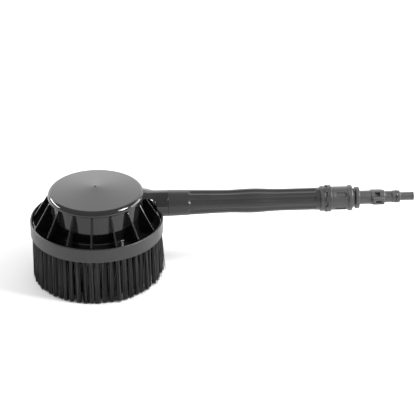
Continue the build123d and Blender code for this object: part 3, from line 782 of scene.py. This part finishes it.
def grip_mesh():
    """The grip's hollow tube, with the tail that carries the collar and the lock ring."""
    count = 300
    xs = [grip_start + (grip_end - grip_start) * k / count for k in range(count + 1)]
    skin = [(x, grip_radius(x)) for x in xs]
    skin[0] = (skin[0][0], skin[0][1] - 0.5 * MM)
    skin.insert(1, (grip_start + 0.12 * MM, grip_radius(grip_start) - 0.12 * MM))
    skin.insert(2, (grip_start + 0.4 * MM, grip_radius(grip_start)))
    spigot = socket_radius - socket_wall - 0.1 * MM
    hollow = [(lock_high.x, tail_radius), (lock_high.x, tail_bore), (grip_start + 3 * MM, tail_bore),
              (grip_start + 3 * MM, tube_clearance), (grip_low.x, tube_clearance), (grip_low.x, spigot)]
    outline = [(grip_start, spigot)] + skin + [(grip_end, tail_radius)] + hollow
    return turn_mesh([Vector(p) for p in outline], 240, round_handle, shape=grip_shape)


piece("grip_shown", [grip_mesh()], grip_finish, "body", ["grip"], sharp=30)


# ---------------------------------------------------------------- collar, lock ring and coupling

collar_radius = (collar_high.y - collar_low.y) / 2
lock_radius = (lock_high.y - lock_low.y) / 2
flange_end = coupling_high.x - 2.2 * MM
flange_start = flange_end - 5.0 * MM
coupling_radius = 14.3 * MM
coupling_flange_radius = (coupling_high.y - coupling_low.y) / 2
coupling_neck_radius = 11.6 * MM
recess_angles = [math.radians(a) for a in (46.0, 126.0, -134.0, -54.0)]
recess_middle = (lock_high.x + flange_start) / 2 + 0.6 * MM
front_wall = 4.0 * MM
lock_notches = 8


def notched(x, out, angle):
    """The lock ring's radius: eight notches in its grip-side edge."""
    if out < collar_radius - 1.0 * MM:
        return out
    pitch = TURN / lock_notches
    away = abs((angle + pitch / 2) % pitch - pitch / 2) * out
    inside = 1.0 - ramp(away, 2.7 * MM, 3.2 * MM)
    start = 1.0 - ramp(x, lock_low.x + 2.1 * MM, lock_low.x + 2.5 * MM)
    return out - (out - collar_radius + 0.6 * MM) * inside * start


def recessed(x, out, angle):
    """The coupling's radius: four oblong finger recesses and windows in its neck."""
    if x > flange_end and out > coupling_neck_radius - 0.1 * MM:
        beside = abs(out * math.sin(angle))
        window = 1 - ramp(beside, 4.2 * MM, 4.7 * MM)
        return out - 2.6 * MM * window * ramp(x, flange_end, flange_end + 0.3 * MM)
    if not lock_high.x < x < flange_start or out < coupling_radius - 0.2 * MM:
        return out
    depth = 0.0
    for middle in recess_angles:
        away = angle_apart(angle, middle) * out
        past = max(abs(x - recess_middle) - 4.3 * MM, 0.0)
        near = math.hypot(away, past)
        depth = max(depth, 1.6 * MM * (1.0 - ramp(near, 2.3 * MM, 3.2 * MM)))
    return out - depth


def coupling_mesh():
    bore, inner_bore, spigot = 8.05 * MM, 5.0 * MM, tail_bore - 0.1 * MM
    corners = [(coupling_low.x, inner_bore, 0.0), (coupling_low.x, spigot, 0.3 * MM),
               (lock_high.x, spigot, 0.0), (lock_high.x, coupling_radius, 0.2 * MM),
               (flange_start, coupling_radius, 0.8 * MM), (flange_start, coupling_flange_radius, 1.4 * MM),
               (flange_end, coupling_flange_radius, 1.4 * MM), (flange_end, coupling_neck_radius, 0.3 * MM),
               (coupling_high.x, coupling_neck_radius, 0.4 * MM), (coupling_high.x, bore, 0.2 * MM),
               (flange_end - front_wall, bore, 0.0), (flange_end - front_wall, inner_bore, 0.0)]
    return turn_mesh(refined(soften(corners, 5), 0.45 * MM), 224, round_handle, shape=recessed)


def band_mesh(low_x, high_x, radius, rounding, steps=128, shape=None):
    corners = [(low_x, tail_radius, 0.0), (low_x, radius, rounding), (high_x, radius, rounding),
               (high_x, tail_radius, 0.0)]
    return turn_mesh(refined(soften(corners, 5), 0.4 * MM), steps, round_handle, shape=shape)


piece("collar", [band_mesh(collar_low.x, collar_high.x, collar_radius, 0.8 * MM)], collar_finish,
      "body", ["grip_collar"])
piece("lock_ring_shown", [band_mesh(lock_low.x, lock_high.x, lock_radius, 0.9 * MM, 256, notched)],
      collar_finish, "body", ["lock_ring"])
piece("coupling", [coupling_mesh()], coupling_finish, "body", ["coupling_body"])


# ---------------------------------------------------------------- bayonet adapter

adapter_start = coupling_high.x + 0.3 * MM
widths = [6.1, 14.4, 16.4, 9.9, 9.8]
disc_end, body_start, body_end, nose_end, seal_end = [
    adapter_start + sum(widths[:k + 1]) * MM for k in range(len(widths))]
disc_start = adapter_start + 1.2 * MM
groove_x = (nose_end + seal_end) / 2
body_radius = 8.95 * MM
nose_radius = 6.95 * MM
tip_radius = 5.05 * MM
disc_radius = 13.4 * MM
neck_radius = 8.4 * MM
seal_land_radius = 7.5 * MM
ear_reach = (adapter_high.y - adapter_low.y) / 2
pocket_x = body_start + 16.4 * MM * 0.45
pocket_angles = [math.radians(a) for a in (40, 220)]
dent_x = (body_end + nose_end) / 2


def pocketed(x, out, angle):
    """The adapter's radius: two pockets in the body and two dents in the nose."""
    aside = min(abs(angle_apart(angle, middle)) for middle in pocket_angles) * out
    if body_start < x < body_end and out > body_radius - 0.5 * MM:
        inside = (1 - ramp(abs(x - pocket_x), 2.7 * MM, 3.0 * MM)) * (1 - ramp(aside, 2.4 * MM, 2.8 * MM))
        return out - 3.6 * MM * inside
    if body_end < x < nose_end and out > nose_radius - 0.5 * MM:
        near = math.hypot(aside, max(0.0, abs(x - dent_x) - 1.9 * MM))
        return out - 1.0 * MM * (1 - ramp(near, 1.8 * MM, 2.5 * MM))
    return out


def adapter_mesh():
    bore, stem, journal = 2.2 * MM, 5.5 * MM, 8.0 * MM
    half = 1.2 * MM
    groove_radius = 5.9 * MM
    stem_end = adapter_low.x + 9 * MM
    bead_radius = tip_radius + 0.25 * MM
    corners = [(adapter_low.x, bore, 0.0), (adapter_low.x, stem, 0.4 * MM), (stem_end, stem, 0.0),
               (stem_end, journal, 0.3 * MM), (disc_start, journal, 0.0),
               (disc_start, disc_radius, 0.9 * MM), (disc_end, disc_radius, 0.9 * MM),
               (disc_end, neck_radius, 0.7 * MM), (body_start, neck_radius, 0.2 * MM),
               (body_start, body_radius, 0.25 * MM), (body_end, body_radius, 0.6 * MM),
               (body_end, nose_radius, 0.5 * MM), (nose_end, nose_radius, 0.2 * MM),
               (nose_end, seal_land_radius, 0.35 * MM), (groove_x - half, seal_land_radius, 0.25 * MM),
               (groove_x - half, groove_radius, 0.2 * MM), (groove_x + half, groove_radius, 0.2 * MM),
               (groove_x + half, seal_land_radius, 0.25 * MM),
               (seal_end - 1.0 * MM, seal_land_radius, 0.4 * MM),
               (seal_end, tip_radius + 0.6 * MM, 0.2 * MM), (seal_end, tip_radius, 0.4 * MM),
               (adapter_high.x - 2.8 * MM, tip_radius, 0.4 * MM),
               (adapter_high.x - 2.1 * MM, bead_radius, 0.3 * MM),
               (adapter_high.x - 0.6 * MM, bead_radius, 0.3 * MM),
               (adapter_high.x, tip_radius - 0.4 * MM, 0.3 * MM), (adapter_high.x, bore, 0.4 * MM)]
    return turn_mesh(refined(soften(corners, 4), 0.45 * MM), 160, round_handle, shape=pocketed)


def rounded_loop(half_u, half_v, corner):
    """A rectangle with rounded corners, as points."""
    steps = 6
    flat_u, flat_v = half_u - corner, half_v - corner
    loop = []
    for quarter, (su, sv) in enumerate(((1, 1), (-1, 1), (-1, -1), (1, -1))):
        for k in range(steps + 1):
            a = math.pi / 2 * (quarter + k / steps)
            loop.append((su * flat_u + corner * math.cos(a), sv * flat_v + corner * math.sin(a)))
    return loop


def ear_mesh(side):
    """An outer ear with softened edges and a blind slot in its end."""
    middle = (body_start + body_end) / 2
    half_x, half_z = 7.35 * MM, 4.0 * MM
    slot_x, slot_z, depth = 3.5 * MM, 1.1 * MM, 3.6 * MM
    levels = [(body_radius * 0.5, 0.0), (ear_reach - 1.2 * MM, 0.0), (ear_reach - 0.45 * MM, 0.15 * MM),
              (ear_reach - 0.12 * MM, 0.5 * MM), (ear_reach, 1.1 * MM)]
    rings = [(out, rounded_loop(half_x - inset, half_z - inset, 1.1 * MM)) for out, inset in levels]
    rings += [(ear_reach, rounded_loop(slot_x + 0.3 * MM, slot_z + 0.3 * MM, 0.7 * MM)),
              (ear_reach - 0.25 * MM, rounded_loop(slot_x, slot_z, 0.6 * MM)),
              (ear_reach - depth, rounded_loop(slot_x, slot_z, 0.6 * MM))]
    return loft_mesh([[(middle + u, side * out, handle_z + v) for u, v in ring] for out, ring in rings])


def lock_ears():
    """The two inner ears that turn behind the coupling's front wall."""
    start = flange_end - front_wall - 3.5 * MM
    ears = []
    for side in (-1, 1):
        low, high = sorted((handle_z + side * 7.0 * MM, handle_z + side * 9.9 * MM))
        ears.append(block_mesh((start, -3 * MM, low), (start + 3.4 * MM, 3 * MM, high), 0.3 * MM))
    return ears


def o_ring_mesh(x, inner, section):
    """An O-ring round the handle axis."""
    sides, middle = 20, inner + section
    turns = [TURN * k / sides for k in range(sides)]
    loop = [Vector((x + section * math.cos(a), middle + section * math.sin(a))) for a in turns]
    return turn_mesh(loop, 96, round_handle)


piece("adapter_shown", [adapter_mesh(), ear_mesh(-1), ear_mesh(1)] + lock_ears(), adapter_finish,
      "adapter", ["bayonet_adapter"])
piece("tip_o_ring", [o_ring_mesh(groove_x, 5.85 * MM, 1.12 * MM)], rubber_finish, "adapter",
      ["tip_seal"])


# ---------------------------------------------------------------- inner parts that keep their CAD shape

inside = {
    inner_finish: ["water_elbow", "water_tube", "vane_ring", "spindle"],
    rubber_finish: ["duct_seal", "elbow_seal", "coupling_seal", "spindle_seal", "stem_seal"],
    steel_finish: ["socket_screws", "spindle_screws", "vane_screws", "spindle_nut", "washer_lower",
                   "washer_upper"],
    brass_finish: ["jet_nozzles"],
    acetal_finish: ["bearing_bush"],
}
for finish, names in inside.items():
    for node_name in names:
        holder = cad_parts[node_name]
        if not holder.material_slots:
            holder.data.materials.append(None)
        for place in holder.material_slots:
            place.link = "OBJECT"
            place.material = finish


# ---------------------------------------------------------------- floor, light and camera

def floor_finish():
    f = Finish("studio_floor", 0.75, specular=0.15)
    f.feed("Base Color", f.blend(f.noise(3.0, 3.0), shade(0.80), shade(0.82)))
    return f.material


def area_light(name, place, aim, size, power):
    light = bpy.data.lights.new(name, "AREA")
    light.shape = "RECTANGLE"
    light.size, light.size_y = size
    light.energy = power
    lamp = bpy.data.objects.new(name, light)
    bpy.context.scene.collection.objects.link(lamp)
    lamp.location = place
    lamp.rotation_euler = (Vector(aim) - Vector(place)).to_track_quat("-Z", "Y").to_euler()


def set_world(grey, strength):
    world = bpy.data.worlds.new("studio")
    world.use_nodes = True
    back = world.node_tree.nodes["Background"]
    back.inputs["Color"].default_value = (grey, grey, grey, 1)
    back.inputs["Strength"].default_value = strength
    bpy.context.scene.world = world


camera_place = (0.0290, -1.5798, 0.9449)
camera_azimuth, camera_elevation, camera_roll = 3.9, -28.67, 0.2
lens_length, sensor_width = 128.05, 36.0


def set_camera():
    lens = bpy.data.cameras.new("product_camera")
    lens.lens, lens.sensor_width = lens_length, sensor_width
    lens.dof.use_dof = False
    camera = bpy.data.objects.new("product_camera", lens)
    bpy.context.scene.collection.objects.link(camera)
    camera.location = camera_place
    azimuth, elevation = math.radians(camera_azimuth), math.radians(camera_elevation)
    ahead = Vector((math.sin(azimuth) * math.cos(elevation), math.cos(azimuth) * math.cos(elevation),
                    math.sin(elevation)))
    level = ahead.to_track_quat("-Z", "Y")
    camera.rotation_euler = (level @ Quaternion((0, 0, 1), math.radians(camera_roll))).to_euler()
    bpy.context.scene.camera = camera


floor_mesh = bmesh.new()
bmesh.ops.create_grid(floor_mesh, x_segments=1, y_segments=1, size=6.0)
floor_data = bpy.data.meshes.new("floor")
floor_mesh.to_mesh(floor_data)
floor_mesh.free()
floor_data.materials.append(floor_finish())
floor = bpy.data.objects.new("floor", floor_data)
bpy.context.scene.collection.objects.link(floor)

set_world(1.0, 0.6)
area_light("back_wall", (0.0, 2.6, 1.3), (0.0, 0.0, 0.1), (6.0, 2.4), 74)
area_light("left_box", (-1.6, 0.75, 0.75), (0.0, 0.0, 0.1), (1.3, 0.35), 34)
area_light("right_box", (1.5, -0.45, 1.2), (0.0, 0.0, 0.1), (0.55, 0.7), 50)
area_light("right_low", (1.9, 0.5, 0.45), (0.0, 0.0, 0.08), (1.3, 0.8), 26)
bpy.context.scene.view_settings.view_transform = "Standard"
set_camera()
